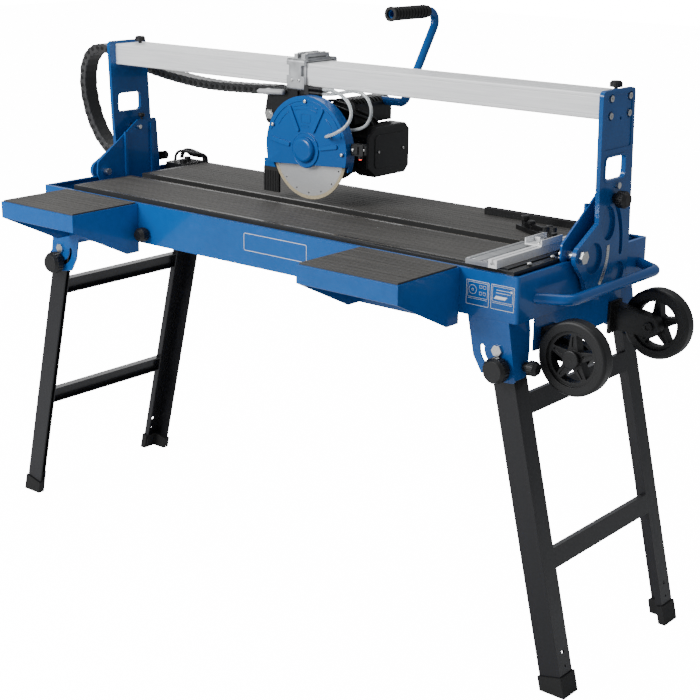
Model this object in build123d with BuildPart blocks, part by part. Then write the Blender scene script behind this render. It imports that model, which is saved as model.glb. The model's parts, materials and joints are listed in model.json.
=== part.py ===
"""A wet tile saw: a tilting bridge rail with a sliding cutting head, over a water tub on folding legs.

Lengths are in millimetres. The saw is drawn with X and Y from the front left corner of its base
and Z from the floor. The planes below move it so that its origin is the middle of its footprint.
"""
import os
from math import atan2, cos, degrees, radians, sin, tan

from build123d import *

os.makedirs("parts", exist_ok=True)

# ---------------------------------------------------------------- driving dimensions
CENTRE_X = 569.4        # middle of the footprint, from the front left corner of the base
CENTRE_Y = 147.3

BASE_LENGTH = 1270.0
BASE_DEPTH = 452.0
TUB_FLOOR = 683.0
TUB_TOP = 767.4
TUB_WALL = 4.0
RIM = 8.0
SKIRT_BOTTOM = 620.0

TABLE_TOP = 775.0
TABLE_X = (82.0, 1235.0)
FRONT_TABLE_Y = (17.0, 184.0)
REAR_TABLE_Y = (222.0, 432.0)
MAT = 3.0

TILT_Y = 173.0          # axis that the bridge tilts about
TILT_Z = 777.0
LOCK_R = 140.0
LOCK_ANGLE = 41.6
POST = 9.0
POST_GAP = 10.0
GUSSET_IN = 8.3
GUSSET = 4.0

RAIL_Y = (235.0, 320.0)
RAIL_Z = (1016.0, 1063.0)

CLAMP_X = (529.0, 577.0)
HEAD_X = 485.0          # axis that the cutting head plunges about
HEAD_Z = 951.0
BLADE_X = 613.0
BLADE_Y = 202.0
BLADE_Z = 889.0
BLADE_R = 100.0
MOTOR_R = 62.0
MOTOR_Y = (232.0, 385.0)
GUARD_X = 616.0
GUARD_Z = 894.0
GUARD_R = 109.5
GUARD_Y = (186.0, 212.0)
HANDLE_X = 731.0
HANDLE_R = 9.0
GRIP_Y = (313.0, 437.0)
GRIP_Z = 1167.0

LEG_X = 1232.0          # pivot of the right legs
LEG_Z = 629.0
SPLAY = 13.5
LEG_WIDTH = 45.0
LEG_DEPTH = 42.0
STEEL = 3.0
GAP = 0.3               # clearance between surfaces that move on each other
CLAMP_R = 33.0
CROSSBAR_Z = (525.0, 242.0)
CROSSBAR = 37.5

WHEEL_X = 1346.0
WHEEL_Z = 622.0
WHEEL_R = 69.0
WHEEL_Y = (60.0, 90.0)

TRAY_X = ((78.0, 308.0), (915.0, 1145.0))
TRAY_REACH = 180.0
TRAY_TOP = 766.0

HOSE_R = 3.5


# ---------------------------------------------------------------- planes and small shapes
def facing_x(x):
    """Looks along +X: sketch X is the saw's Y, sketch Y is height."""
    return Plane(origin=(x - CENTRE_X, -CENTRE_Y, 0), x_dir=(0, 1, 0), z_dir=(1, 0, 0))


def facing_front(y):
    """Faces the front, -Y: sketch X is the saw's X, sketch Y is height."""
    return Plane(origin=(-CENTRE_X, y - CENTRE_Y, 0), x_dir=(1, 0, 0), z_dir=(0, -1, 0))


def facing_up(z):
    return Plane(origin=(-CENTRE_X, -CENTRE_Y, z), x_dir=(1, 0, 0), z_dir=(0, 0, 1))


def at(x, y, z):
    return Vector(x - CENTRE_X, y - CENTRE_Y, z)


MID_LENGTH = Plane(origin=at(BASE_LENGTH / 2, 0, 0), z_dir=(1, 0, 0))
MID_DEPTH = Plane(origin=at(0, BASE_DEPTH / 2, 0), z_dir=(0, 1, 0))
# The leg frames are narrower than the base, and a little nearer to the right.
LEG_DEPTHS = BASE_DEPTH - 20
LEG_SHIFT = 10
LEGS_MID_LENGTH = Plane(origin=at((BASE_LENGTH + LEG_SHIFT) / 2, 0, 0), z_dir=(1, 0, 0))
LEGS_MID_DEPTH = Plane(origin=at(0, LEG_DEPTHS / 2, 0), z_dir=(0, 1, 0))


def block(x, y, z, mode=Mode.ADD):
    """A box in the open part, from three pairs of ends."""
    with Locations(at(sum(x) / 2, sum(y) / 2, sum(z) / 2)):
        Box(x[1] - x[0], y[1] - y[0], z[1] - z[0], mode=mode)


def field(x, y, mode=Mode.ADD):
    """A rectangle in the open sketch, from two pairs of ends."""
    with Locations((sum(x) / 2, sum(y) / 2)):
        Rectangle(x[1] - x[0], y[1] - y[0], mode=mode)


def rod(plane, centres, radius, length, bore=0, mode=Mode.ADD):
    """Round bars or tubes of one size, standing on a plane."""
    with BuildSketch(plane) as section:
        with Locations(*centres):
            Circle(radius)
            if bore:
                Circle(bore, mode=Mode.SUBTRACT)
    extrude(section.sketch, amount=length, mode=mode)


def on_arc(centre, radius, angle):
    return (centre[0] + radius * cos(radians(angle)), centre[1] + radius * sin(radians(angle)))


def arc_path(centre, radius, start, size):
    """An arc in a sketch's own plane, for a slot or a ridge to follow."""
    with BuildLine() as path:
        CenterArc(centre, radius, start, size)
    return path.wire()


def cap(plane, centre, radius, length, bore=0, grooves=20):
    """A round knob head with a grooved rim and a rounded outer edge."""
    with BuildSketch(plane) as section:
        with Locations(centre):
            Circle(radius)
            with PolarLocations(radius + 0.3, grooves):
                Circle(radius * 0.06, mode=Mode.SUBTRACT)
            if bore:
                Circle(bore, mode=Mode.SUBTRACT)
    extrude(section.sketch, amount=length * 0.7)
    with BuildSketch(plane.offset(length * 0.7)) as crown:
        with Locations(centre):
            Circle(radius - 0.8)
    extrude(crown.sketch, amount=length * 0.3, taper=32)


def save(piece, name):
    piece.part.label = name
    export_step(piece.part, f"parts/{name}.step")


# ---------------------------------------------------------------- base
with BuildPart() as base_tub:
    block((0, BASE_LENGTH), (0, BASE_DEPTH), (TUB_FLOOR, TUB_TOP))
    fillet(base_tub.edges().filter_by(Axis.Z), 6)
    block((RIM, BASE_LENGTH - RIM), (RIM, BASE_DEPTH - RIM), (TUB_TOP - 4, TUB_TOP), Mode.SUBTRACT)
    inside = (TUB_WALL, BASE_LENGTH - TUB_WALL), (TUB_WALL, BASE_DEPTH - TUB_WALL)
    block(*inside, (TUB_FLOOR + 3, TUB_TOP - 3), Mode.SUBTRACT)
    # End skirts carry the wheel arms and stiffen the leg brackets.
    block((BASE_LENGTH - 8, BASE_LENGTH - 4), (66, 368), (SKIRT_BOTTOM, TUB_FLOOR))
    block((4, 8), (66, 368), (SKIRT_BOTTOM, TUB_FLOOR))
    # Baffles that the two table panels rest on.
    for x in ((76, 87), (1222, 1240)):
        block(x, (TUB_WALL, BASE_DEPTH - TUB_WALL), (TUB_FLOOR + 3, TABLE_TOP - 12))
save(base_tub, "base_tub")

with BuildPart() as water_pan:
    block((92, 1217), (9, 443), (TUB_FLOOR + 4, TUB_FLOOR + 58))
    fillet(water_pan.edges().filter_by(Axis.Z), 18)
    offset(amount=-3, openings=water_pan.faces().sort_by(Axis.Z)[-1])
save(water_pan, "water_pan")


def table_panel(y):
    """A folded steel panel whose top is recessed for a rubber mat."""
    block(TABLE_X, y, (TABLE_TOP - 12, TABLE_TOP))
    block(tuple_in(TABLE_X, 9), tuple_in(y, 9), (TABLE_TOP - MAT, TABLE_TOP), Mode.SUBTRACT)
    block(tuple_in(TABLE_X, 12), tuple_in(y, 3), (TABLE_TOP - 12, TABLE_TOP - 6), Mode.SUBTRACT)


def tuple_in(ends, inset):
    return (ends[0] + inset, ends[1] - inset)


with BuildPart() as table_front:
    table_panel(FRONT_TABLE_Y)
save(table_front, "table_front")

with BuildPart() as table_rear:
    table_panel(REAR_TABLE_Y)
save(table_rear, "table_rear")

# ---------------------------------------------------------------- rubber mats of the tables and the front trays
RIB_PITCH = 15.0


def mat(x, y, top):
    """A ribbed rubber mat with its top at a height."""
    block(x, y, (top - MAT, top))
    span = y[1] - y[0] - 16
    count = int(span // RIB_PITCH)
    for i in range(count + 1):
        groove = y[0] + 8 + i * span / count
        block(tuple_in(x, 5), (groove - 1, groove + 1), (top - 1, top), Mode.SUBTRACT)


with BuildPart() as mats:
    for y in (FRONT_TABLE_Y, REAR_TABLE_Y):
        mat(tuple_in(TABLE_X, 9), tuple_in(y, 9), TABLE_TOP)
    for x in TRAY_X:
        mat(tuple_in(x, 4), (4 - TRAY_REACH, -4), TRAY_TOP + MAT)
save(mats, "mats")

# ---------------------------------------------------------------- tilt gussets, fixed inside the ends
LOCK = on_arc((TILT_Y, TILT_Z), LOCK_R, LOCK_ANGLE)
with BuildPart() as gussets:
    with BuildSketch(facing_x(BASE_LENGTH - GUSSET_IN - GUSSET)):
        with BuildLine():
            Polyline((148, 773), (150, 800), (277, 886), (336, 886), (344, 770), (344, 700), (180, 700), close=True)
        make_face()
        fillet(vertices(), 9)
        with Locations((TILT_Y, TILT_Z)):
            Circle(8, mode=Mode.SUBTRACT)
        with Locations(LOCK):
            Circle(5, mode=Mode.SUBTRACT)
    extrude(amount=GUSSET)
    # Pads join each gusset to the end wall below the rim.
    block((BASE_LENGTH - GUSSET_IN, BASE_LENGTH - TUB_WALL), (200, 330), (705, 750))
    # Two stiffening ribs on the inner face.
    ribs = (BASE_LENGTH - GUSSET_IN - GUSSET - 5, BASE_LENGTH - GUSSET_IN - GUSSET)
    for y in (232, 314):
        block(ribs, (y, y + 8), (712, 862 if y < 300 else 876))
    mirror(about=MID_LENGTH)
save(gussets, "gussets")

with BuildPart() as leg_bolts:
    # Leg pivots: a hexagon head outside the bracket, and a nut behind the leg.
    rod(facing_front(STEEL + GAP + STEEL + 8), [(LEG_X, LEG_Z)], 6, STEEL + GAP + STEEL + 8 + 1)
    with BuildSketch(facing_front(0)):
        with Locations((LEG_X, LEG_Z)):
            RegularPolygon(11, 6)
    extrude(amount=5)
    rod(facing_front(STEEL + GAP + STEEL + 8), [(LEG_X, LEG_Z)], 10, 8 - GAP)
    mirror(about=LEGS_MID_LENGTH)
    mirror(about=LEGS_MID_DEPTH)

with BuildPart() as shoulder_bolts:
    # Tilt pivots: a bush between gusset and post, a bolt through both, a head outside.
    bush_start = BASE_LENGTH - GUSSET_IN
    rod(facing_x(bush_start), [(TILT_Y, TILT_Z)], 9, GUSSET_IN + POST_GAP - GAP)
    rod(facing_x(bush_start - 16), [(TILT_Y, TILT_Z)], 8, 16 + GUSSET_IN + POST_GAP + POST + GAP)
    with BuildSketch(facing_x(BASE_LENGTH + POST_GAP + POST + GAP)):
        with Locations((TILT_Y, TILT_Z)):
            RegularPolygon(13, 6)
    extrude(amount=8)
    # Lock studs that the curved grooves of the posts slide past.
    rod(facing_x(bush_start - 12), [LOCK], 5, 12 + GUSSET_IN + POST_GAP + POST + 20)
    mirror(about=MID_LENGTH)
    add(leg_bolts.part)
    # Wheel axles.
    rod(facing_front(116), [(WHEEL_X, WHEEL_Z)], 6, 116 - WHEEL_Y[0] + 1)
    rod(facing_front(BASE_DEPTH - WHEEL_Y[0] + 1), [(WHEEL_X, WHEEL_Z)], 6, 116 - WHEEL_Y[0] + 1)
save(shoulder_bolts, "shoulder_bolts")

# ---------------------------------------------------------------- carry handle
with BuildPart() as carry_handle:
    with BuildLine() as bar:
        FilletPolyline(
            at(1262, 56, 720), at(1326, 86, 720), at(1326, 392, 720), at(1262, 430, 720), radius=26
        )
    with BuildSketch(Plane(origin=bar.line @ 0, z_dir=bar.line % 0)):
        Circle(10)
        Circle(8, mode=Mode.SUBTRACT)
    sweep()
    split(bisect_by=Plane(origin=at(BASE_LENGTH, 0, 0), z_dir=(1, 0, 0)), keep=Keep.TOP)
save(carry_handle, "carry_handle")

# ---------------------------------------------------------------- leg brackets
SIDE_TOP = (1253.0, TUB_FLOOR)
SIDE_FOOT = (1272.0, 575.0)
SIDE_TURN = degrees(atan2(SIDE_FOOT[0] - SIDE_TOP[0], SIDE_TOP[1] - SIDE_FOOT[1]))
SIDE_OUT = Vector(cos(radians(SIDE_TURN)), 0, sin(radians(SIDE_TURN)))
SPRING_KNOB = (31.0, 600.0)
with BuildPart() as leg_brackets:
    with BuildSketch(facing_front(STEEL)):
        with BuildLine():
            Polyline((1165, TUB_FLOOR), (1180, 611), (1198, 582), (1250, 573), SIDE_FOOT, SIDE_TOP, close=True)
        make_face()
        fillet(vertices().sort_by(Axis.Y)[:4], 5)
        with Locations((LEG_X, LEG_Z)):
            Circle(6, mode=Mode.SUBTRACT)
        SlotArc(arc_path((LEG_X, LEG_Z), CLAMP_R, 178, 107.5), 9, mode=Mode.SUBTRACT)
    extrude(amount=STEEL)
    # Side plate, folded back beside the leg.
    with BuildSketch(Plane(origin=at(SIDE_TOP[0], 0, SIDE_TOP[1]), x_dir=(0, 1, 0), z_dir=SIDE_OUT)):
        with BuildLine():
            Polyline((STEEL, 0), (STEEL, -105), (34, -105), (44, -90), (56, -60), (65, -24), (65, 0), close=True)
        make_face()
        fillet(vertices().sort_by(Axis.Y)[:2].sort_by(Axis.X)[-1], 8)
    extrude(amount=-STEEL)
    rod(facing_x(1255), [SPRING_KNOB], 4.1, 20, mode=Mode.SUBTRACT)
    # Top flange under the tub.
    block((1172, 1249), (STEEL, 60), (TUB_FLOOR - STEEL, TUB_FLOOR))
    mirror(about=LEGS_MID_LENGTH)
    mirror(about=LEGS_MID_DEPTH)
save(leg_brackets, "leg_brackets")

# ---------------------------------------------------------------- front trays
with BuildPart() as trays:
    for ends in TRAY_X:
        with BuildSketch(facing_x(ends[0])) as side:
            with BuildLine():
                Polyline(
                    (-TRAY_REACH, TRAY_TOP), (-TRAY_REACH, 731), (-35, 662), (0, 662), (0, TRAY_TOP), close=True
                )
            make_face()
        extrude(amount=ends[1] - ends[0])
        with BuildSketch(facing_x(ends[0] + STEEL)):
            with BuildLine():
                Polyline(
                    (STEEL - TRAY_REACH, TRAY_TOP - STEEL), (STEEL - TRAY_REACH, 725), (-35, 655),
                    (-STEEL, 655), (-STEEL, TRAY_TOP - STEEL), close=True
                )
            make_face()
        extrude(amount=ends[1] - ends[0] - 2 * STEEL, mode=Mode.SUBTRACT)
save(trays, "trays")

# ---------------------------------------------------------------- wheels
with BuildPart() as wheel_arms:
    with BuildSketch(facing_front(114)):
        with BuildLine():
            Polyline((BASE_LENGTH - 4, 600), (BASE_LENGTH - 4, 656), (1290, 652), (1290, 604), close=True)
        make_face()
        with Locations((WHEEL_X, WHEEL_Z)):
            Circle(21)
        with BuildLine():
            Polyline((1288, 604), (1288, 652), (1344, 642.8), (1344, 601.2), close=True)
        make_face()
        with Locations((WHEEL_X, WHEEL_Z)):
            Circle(6, mode=Mode.SUBTRACT)
    extrude(amount=22)
    with BuildSketch(facing_front(94)):
        with BuildLine():
            Polyline((1292, 614), (1292, 642), (1322, 636), (1322, 609), close=True)
        make_face()
        fillet(vertices(), 4)
    extrude(amount=2.5, mode=Mode.SUBTRACT)
    # Root flange against the end skirt.
    block((BASE_LENGTH - 4, BASE_LENGTH + 2), (86, 130), (598, 660))
    mirror(about=MID_DEPTH)
save(wheel_arms, "wheel_arms")


def spoke_outline():
    """A spoke that is wide at the hub and narrow at the rim, along X in the open sketch."""
    with BuildLine() as edge:
        Polyline((10, -11), (46, -5), (46, 5), (10, 11), close=True)
    make_face(edge.edges())


def wheel(y):
    """A tyre and a five-spoke rim, turning on an axle along Y."""
    outer = facing_front(y[1])
    width = y[1] - y[0]
    rod(outer, [(WHEEL_X, WHEEL_Z)], WHEEL_R, width, 51)
    tyre_edges = edges().filter_by(GeomType.CIRCLE).filter_by(lambda edge: edge.radius > 60)
    fillet(tyre_edges, 6)
    with BuildSketch() as spoke:
        spoke_outline()
    with BuildSketch(facing_front(y[1] - 5)) as rim:
        with Locations((WHEEL_X, WHEEL_Z)):
            Circle(51)
            Circle(44, mode=Mode.SUBTRACT)
            Circle(17)
            with PolarLocations(0, 5, start_angle=90):
                add(spoke.sketch)
            Circle(6.08, mode=Mode.SUBTRACT)
    extrude(rim.sketch, amount=width - 10)
    rod(outer, [(WHEEL_X, WHEEL_Z)], 16, width, 6.08)
    # A groove down the middle of each spoke's outer face.
    for side in (5, width - 7):
        with BuildSketch(outer.offset(side)) as channels:
            with Locations((WHEEL_X, WHEEL_Z)):
                with PolarLocations(31, 5, start_angle=90):
                    SlotOverall(20, 5)
        extrude(channels.sketch, amount=2, mode=Mode.SUBTRACT)


with BuildPart() as wheel_front:
    wheel(WHEEL_Y)
save(wheel_front, "wheel_front")

with BuildPart() as wheel_rear:
    wheel((BASE_DEPTH - WHEEL_Y[1], BASE_DEPTH - WHEEL_Y[0]))
save(wheel_rear, "wheel_rear")

# ---------------------------------------------------------------- fence and stops on the right of the table
FENCE_TOP = TABLE_TOP + 15
with BuildPart() as table_end_strip:
    block((1241, 1256), (4, 160), (TUB_TOP, TUB_TOP + 7))
    rod(facing_up(TUB_TOP + 7), [(1248.5, 64), (1248.5, 140)], 5, 3)
save(table_end_strip, "table_end_strip")

with BuildPart() as fence_bar:
    block((1154, 1203), (2, 180), (TABLE_TOP, FENCE_TOP - 4))
    chamfer(fence_bar.edges().group_by(Axis.Z)[-1].filter_by(Axis.Y), 3)
    for x in (1166, 1190):
        block((x - 1.5, x + 1.5), (2, 180), (FENCE_TOP - 6, FENCE_TOP - 4), Mode.SUBTRACT)
save(fence_bar, "fence_bar")

with BuildPart() as fence_rail:
    block((1203, 1221), (2, 400), (TABLE_TOP, FENCE_TOP))
    block((1210, 1214), (2, 400), (TABLE_TOP + 5, FENCE_TOP), Mode.SUBTRACT)
    block((1207, 1217), (2, 400), (TABLE_TOP + 5, TABLE_TOP + 9), Mode.SUBTRACT)
save(fence_rail, "fence_rail")

STOP_PIVOT = (1150.0, 269.0)
STOP_TURN = 153.0
STOP_Z = (TABLE_TOP + GAP, TABLE_TOP + 9)
with BuildPart() as angle_stop:
    with BuildSketch(facing_up(STOP_Z[0])):
        with Locations(STOP_PIVOT):
            Circle(16)
        with Locations(Location((*STOP_PIVOT, 0), (0, 0, STOP_TURN))):
            with Locations((48, 0)):
                Rectangle(96, 17)
        with Locations(STOP_PIVOT):
            Circle(4.08, mode=Mode.SUBTRACT)
    extrude(amount=STOP_Z[1] - STOP_Z[0])
    with BuildSketch(facing_up(STOP_Z[1])):
        with Locations(Location((*STOP_PIVOT, 0), (0, 0, STOP_TURN))):
            with Locations((58, -6)):
                Rectangle(76, 4)
    extrude(amount=8)
save(angle_stop, "angle_stop")

with BuildPart() as stop_carrier:
    # Arm from the slotted rail to the swivel of the angle stop, and its pivot stud.
    block((1168, 1203), (258, 280), (TABLE_TOP, TABLE_TOP + 9))
    rod(facing_up(TABLE_TOP), [STOP_PIVOT], 4, 16)
    block((1141, 1168), (260, 278), (TABLE_TOP + 9 + GAP, TABLE_TOP + 13))
    block((1160, 1172), (260, 278), (TABLE_TOP + 9, TABLE_TOP + 13))
save(stop_carrier, "stop_carrier")

with BuildPart() as stop_bar:
    block((934, 1151), (380, 395), (TABLE_TOP + GAP, TABLE_TOP + 14))
    block((1151, 1202.5), (382, 393), (TABLE_TOP + GAP, TABLE_TOP + 8))
    block((936, 1149), (383, 392), (TABLE_TOP + 9, TABLE_TOP + 14), Mode.SUBTRACT)
save(stop_bar, "stop_bar")

with BuildPart() as water_pump:
    block((10, 75), (362, 438), (TUB_FLOOR + 59, 776))
    fillet(water_pump.edges().filter_by(Axis.Z), 8)
    for i in range(6):
        block((10, 75), (370 + 11 * i, 373 + 11 * i), (771, 776), Mode.SUBTRACT)
    rod(facing_up(776), [(52, 384), (34, 416)], 8, 8)
save(water_pump, "water_pump")

# ---------------------------------------------------------------- tilting bridge
RAIL_SCREWS = [(247, 1054), (313, 1054), (247, 1023), (313, 1023)]
with BuildPart() as posts:
    with BuildSketch(facing_x(BASE_LENGTH + POST_GAP)) as post_side:
        with BuildLine():
            Polyline(
                (216, 1069), (223, 891), (227, 830), (160, 793), (163, 757), (184, 735), (204, 698), (341, 698),
                (343, 800), (330, 1069), close=True,
            )
        make_face()
        fillet(vertices().group_by(Axis.Y)[-1], 10)
        fillet(vertices().group_by(Axis.Y)[0], 12)
        with Locations((TILT_Y, TILT_Z)):
            Circle(21)
            Circle(8.08, mode=Mode.SUBTRACT)
        SlotArc(arc_path((TILT_Y, TILT_Z), LOCK_R, -5, LOCK_ANGLE + 5.6), 11.5, mode=Mode.SUBTRACT)
        # Hand window under the rail.
        with Locations((274, 927)):
            RectangleRounded(70, 42, 9, mode=Mode.SUBTRACT)
        with Locations((284, 1016)):
            Circle(3, mode=Mode.SUBTRACT)
    extrude(amount=POST)
    # Cast relief in the outer face: a flat panel round the screws, two round recesses and an oval one.
    outside = facing_x(BASE_LENGTH + POST_GAP + POST)
    with BuildSketch(outside):
        with BuildLine():
            Polyline((225, 1060), (231, 962), (325, 962), (320, 1060), close=True)
        make_face()
        fillet(vertices(), 6)
    extrude(amount=-1.5, mode=Mode.SUBTRACT)
    with BuildSketch(outside):
        with Locations((217, 767)):
            Circle(29)
        with Locations((309, 725)):
            Circle(21)
        with Locations(Location((262, 826, 0), (0, 0, 12))):
            Ellipse(24, 33)
    extrude(amount=-6, mode=Mode.SUBTRACT)
    rod(outside, RAIL_SCREWS, 8.5, -3.5, mode=Mode.SUBTRACT)
    rod(outside, RAIL_SCREWS, 3.2, -POST, mode=Mode.SUBTRACT)
    # Raised frame round the hand window.
    with BuildSketch(outside):
        with Locations((274, 927)):
            RectangleRounded(78, 50, 12)
            RectangleRounded(70, 42, 9, mode=Mode.SUBTRACT)
    extrude(amount=1.2)
    mirror(about=MID_LENGTH)
save(posts, "posts")

with BuildPart() as rail_screws:
    head = BASE_LENGTH + POST_GAP + POST - 3.5
    rod(facing_x(head), RAIL_SCREWS, 6, 4.5)
    rod(facing_x(head - POST + 3.5), RAIL_SCREWS, 3.2, POST - 3.5)
    rod(facing_x(head + 2), RAIL_SCREWS, 2.5, 2.5, mode=Mode.SUBTRACT)
    # One larger bolt below the window.
    rod(facing_x(head + 3.5), [(286, 893)], 6, 5)
    mirror(about=MID_LENGTH)
save(rail_screws, "rail_screws")

with BuildPart() as rail:
    with BuildSketch(facing_x(-POST_GAP)):
        field(RAIL_Y, RAIL_Z)
        fillet(vertices(), 3)
        field((RAIL_Y[0] + 3.5, RAIL_Y[1] - 3.5), (RAIL_Z[0] + 3.5, RAIL_Z[1] - 3.5), Mode.SUBTRACT)
        for y in (252, 277.5, 303):
            field((y - 1.5, y + 1.5), (RAIL_Z[1] - 1.5, RAIL_Z[1]), Mode.SUBTRACT)
        for z in (1024, 1055):
            field((RAIL_Y[0], RAIL_Y[0] + 1), (z - 1, z + 1), Mode.SUBTRACT)
        # Screw bosses in the corners.
        with Locations(*RAIL_SCREWS):
            Circle(6)
    extrude(amount=BASE_LENGTH + 2 * POST_GAP)
save(rail, "rail")

# ---------------------------------------------------------------- energy chain behind the rail
CHAIN_Y = (347.0, 387.0)
CHAIN_DEEP = 22.0


def chain(points, radii):
    """A flat chain along a route in the XZ plane."""
    with BuildLine() as route:
        FilletPolyline(*points, radius=radii)
    with BuildSketch(facing_front(CHAIN_Y[1])) as links:
        SlotArc(route.wire(), CHAIN_DEEP)
    extrude(links.sketch, amount=CHAIN_Y[1] - CHAIN_Y[0])


with BuildPart() as chain_run:
    chain([(383, 981), (290, 976), (160, 973), (30, 986), (-70, 1004), (-126, 1021)], [400, 400, 300, 300])
save(chain_run, "chain_run")

with BuildPart() as chain_loop:
    chain(
        [(-150, 1027), (-202, 1040), (-254, 1006), (-268, 932), (-238, 840), (-181, 780), (-100, 772), (-8, 788)],
        [50, 60, 90, 110, 70, 120],
    )
save(chain_loop, "chain_loop")

# ---------------------------------------------------------------- carriage
with BuildPart() as carriage_clamp:
    with BuildSketch(facing_x(CLAMP_X[0])):
        field((225, 331), (1006, 1071))
        fillet(vertices(), 6)
        field((RAIL_Y[0] - 2, RAIL_Y[1] + 2), (RAIL_Z[0] - 2, RAIL_Z[1] + 2), Mode.SUBTRACT)
    extrude(amount=CLAMP_X[1] - CLAMP_X[0])
    # Waist: the strap is narrower over the top and down the upper half of its front and back.
    for x in (CLAMP_X[0], CLAMP_X[1] - 9):
        for y, z in (((238, 318), (1066, 1072)), ((224, 232), (1036, 1058)), ((323, 332), (1036, 1058))):
            block((x, x + 9), y, z, Mode.SUBTRACT)
    for x in (543, 563):
        for y in (238, 306):
            block((x - 5, x + 5), (y, y + 10), (1070, 1080))
        rod(facing_front(306.5), [(x, 1077)], 5.5, 59)
save(carriage_clamp, "carriage_clamp")

with BuildPart() as pivot_bracket:
    for y in ((224, 229), (300, 305)):
        with BuildSketch(facing_front(y[1])):
            with BuildLine():
                Polyline((478, 1006), (467, 951), (474, 932), (500, 930), (560, 962), (560, 1006), close=True)
            make_face()
            fillet(vertices().sort_by(Axis.Y)[:2], 8)
            with Locations((HEAD_X, HEAD_Z)):
                Circle(6, mode=Mode.SUBTRACT)
        extrude(amount=5)
    block((478, 579), (229, 300), (999, 1006))
    # Arm that carries the end of the energy chain.
    block((480, 500), (305, 373), (980, 992))
    block((396, 480), (349, 371), (980, 984))
save(pivot_bracket, "pivot_bracket")

with BuildPart() as head_pivot_pin:
    rod(facing_front(312), [(HEAD_X, HEAD_Z)], 6, 95)
    with BuildSketch(facing_front(224)):
        with Locations((HEAD_X, HEAD_Z)):
            RegularPolygon(11, 6)
    extrude(amount=6)
    rod(facing_front(312), [(HEAD_X, HEAD_Z)], 9, 7)
save(head_pivot_pin, "head_pivot_pin")

# ---------------------------------------------------------------- cutting head
with BuildPart() as swing_arm:
    with BuildSketch(facing_front(298)):
        with BuildLine():
            Polyline((478, 968), (497, 935), (600, 830), (636, 940), (590, 962), close=True)
        make_face()
        with Locations((HEAD_X, HEAD_Z)):
            Circle(18)
            Circle(6.08, mode=Mode.SUBTRACT)
        with Locations((BLADE_X, BLADE_Z)):
            Circle(70)
            Circle(MOTOR_R + 0.1, mode=Mode.SUBTRACT)
    extrude(amount=62)
    # The arm is thinner than the boss between the pivot and the motor collar.
    block((504, 700), (230, 246), (800, 990), Mode.SUBTRACT)
    block((504, 700), (284, 300), (800, 990), Mode.SUBTRACT)
save(swing_arm, "swing_arm")

with BuildPart() as motor_housing:
    rod(facing_front(MOTOR_Y[1] - 12), [(BLADE_X, BLADE_Z)], MOTOR_R, MOTOR_Y[1] - MOTOR_Y[0] - 12)
    rod(facing_front(MOTOR_Y[1]), [(BLADE_X, BLADE_Z)], MOTOR_R - 6, 12)
    with BuildSketch(facing_front(MOTOR_Y[1] - 16)):
        with Locations((BLADE_X, BLADE_Z)):
            with PolarLocations(MOTOR_R + 1, 36):
                Rectangle(6, 3)
    extrude(amount=50, mode=Mode.SUBTRACT)
    # Cooling slots in the end cap.
    with BuildSketch(facing_front(MOTOR_Y[1])):
        with Locations((BLADE_X, BLADE_Z)):
            with PolarLocations(34, 16):
                SlotOverall(26, 5)
    extrude(amount=8, mode=Mode.SUBTRACT)
save(motor_housing, "motor_housing")


def cut_below_guard(drop):
    """Takes away what lies under the guard's lower edge, in the open sketch."""
    with BuildLine() as edge:
        Polyline((500, 856 - drop), (760, 871 - drop), (760, 760), (500, 760), close=True)
    make_face(edge.edges(), mode=Mode.SUBTRACT)


def guard_shell(outer, inner, side, drop):
    """Half of the guard: a side sheet at outer, and a wall from there to inner, both along Y."""
    with BuildSketch(facing_front(max(outer, outer + side * 2.4))) as sheet:
        with Locations((GUARD_X, GUARD_Z)):
            Circle(GUARD_R)
        cut_below_guard(drop)
        with Locations((GUARD_X, GUARD_Z)):
            Circle(38)
    extrude(sheet.sketch, amount=2.4)
    with BuildSketch(facing_front(max(outer, inner))) as wall:
        with Locations((GUARD_X, GUARD_Z)):
            Circle(GUARD_R)
            Circle(GUARD_R - 2.5, mode=Mode.SUBTRACT)
        cut_below_guard(drop)
    extrude(wall.sketch, amount=abs(inner - outer))


SEAM = sum(GUARD_Y) / 2
with BuildPart() as guard_front:
    guard_shell(GUARD_Y[0], SEAM - 0.2, 1, 0)
    face = facing_front(GUARD_Y[0])
    # Domed boss over the arbor, its collar, and the ribs round it.
    rod(face, [(GUARD_X, GUARD_Z)], 27, 12)
    fillet(guard_front.edges().filter_by(GeomType.CIRCLE).group_by(Axis.Y)[0], 9)
    rod(face, [(GUARD_X, GUARD_Z)], 36, 2, 27)
    with BuildSketch(face):
        for angle, inner, outer in ((117, 40, 98), (62, 42, 100), (171, 42, 98), (10, 38, 88)):
            middle = (inner + outer) / 2
            with Locations(Location((*on_arc((GUARD_X, GUARD_Z), middle, angle), 0), (0, 0, angle))):
                SlotOverall(outer - inner, 9)
    extrude(amount=3.5)
    with BuildSketch(face):
        SlotArc(arc_path((GUARD_X, GUARD_Z), GUARD_R - 9, 20, 140), 3)
    extrude(amount=1.5)
    screws = [on_arc((GUARD_X, GUARD_Z), 99, angle) for angle in (0, 90, 154)]
    rod(face, screws, 4.5, 2.5)
    # Water inlet.
    rod(face, [(682, 929)], 5, 11)
save(guard_front, "guard_front")

with BuildPart() as guard_rear:
    guard_shell(GUARD_Y[1], SEAM + 0.2, -1, 12)
    rod(facing_front(GUARD_Y[1]), [(BLADE_X, BLADE_Z)], 14, 2.4, mode=Mode.SUBTRACT)
    # Stand-offs to the motor flange, and the tab that holds the splash flap.
    rod(facing_front(MOTOR_Y[0]), [on_arc((BLADE_X, BLADE_Z), 48, a) for a in (25, 90, 155)], 6, 20)
    # Water inlet.
    rod(facing_front(GUARD_Y[1] + 8), [(697, 938)], 5, 8)
    block((484, 523), (204.5, 212), (843.5, 860))
    block((506, 523), (204.5, 212), (843.5, 872))
save(guard_rear, "guard_rear")

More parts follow.
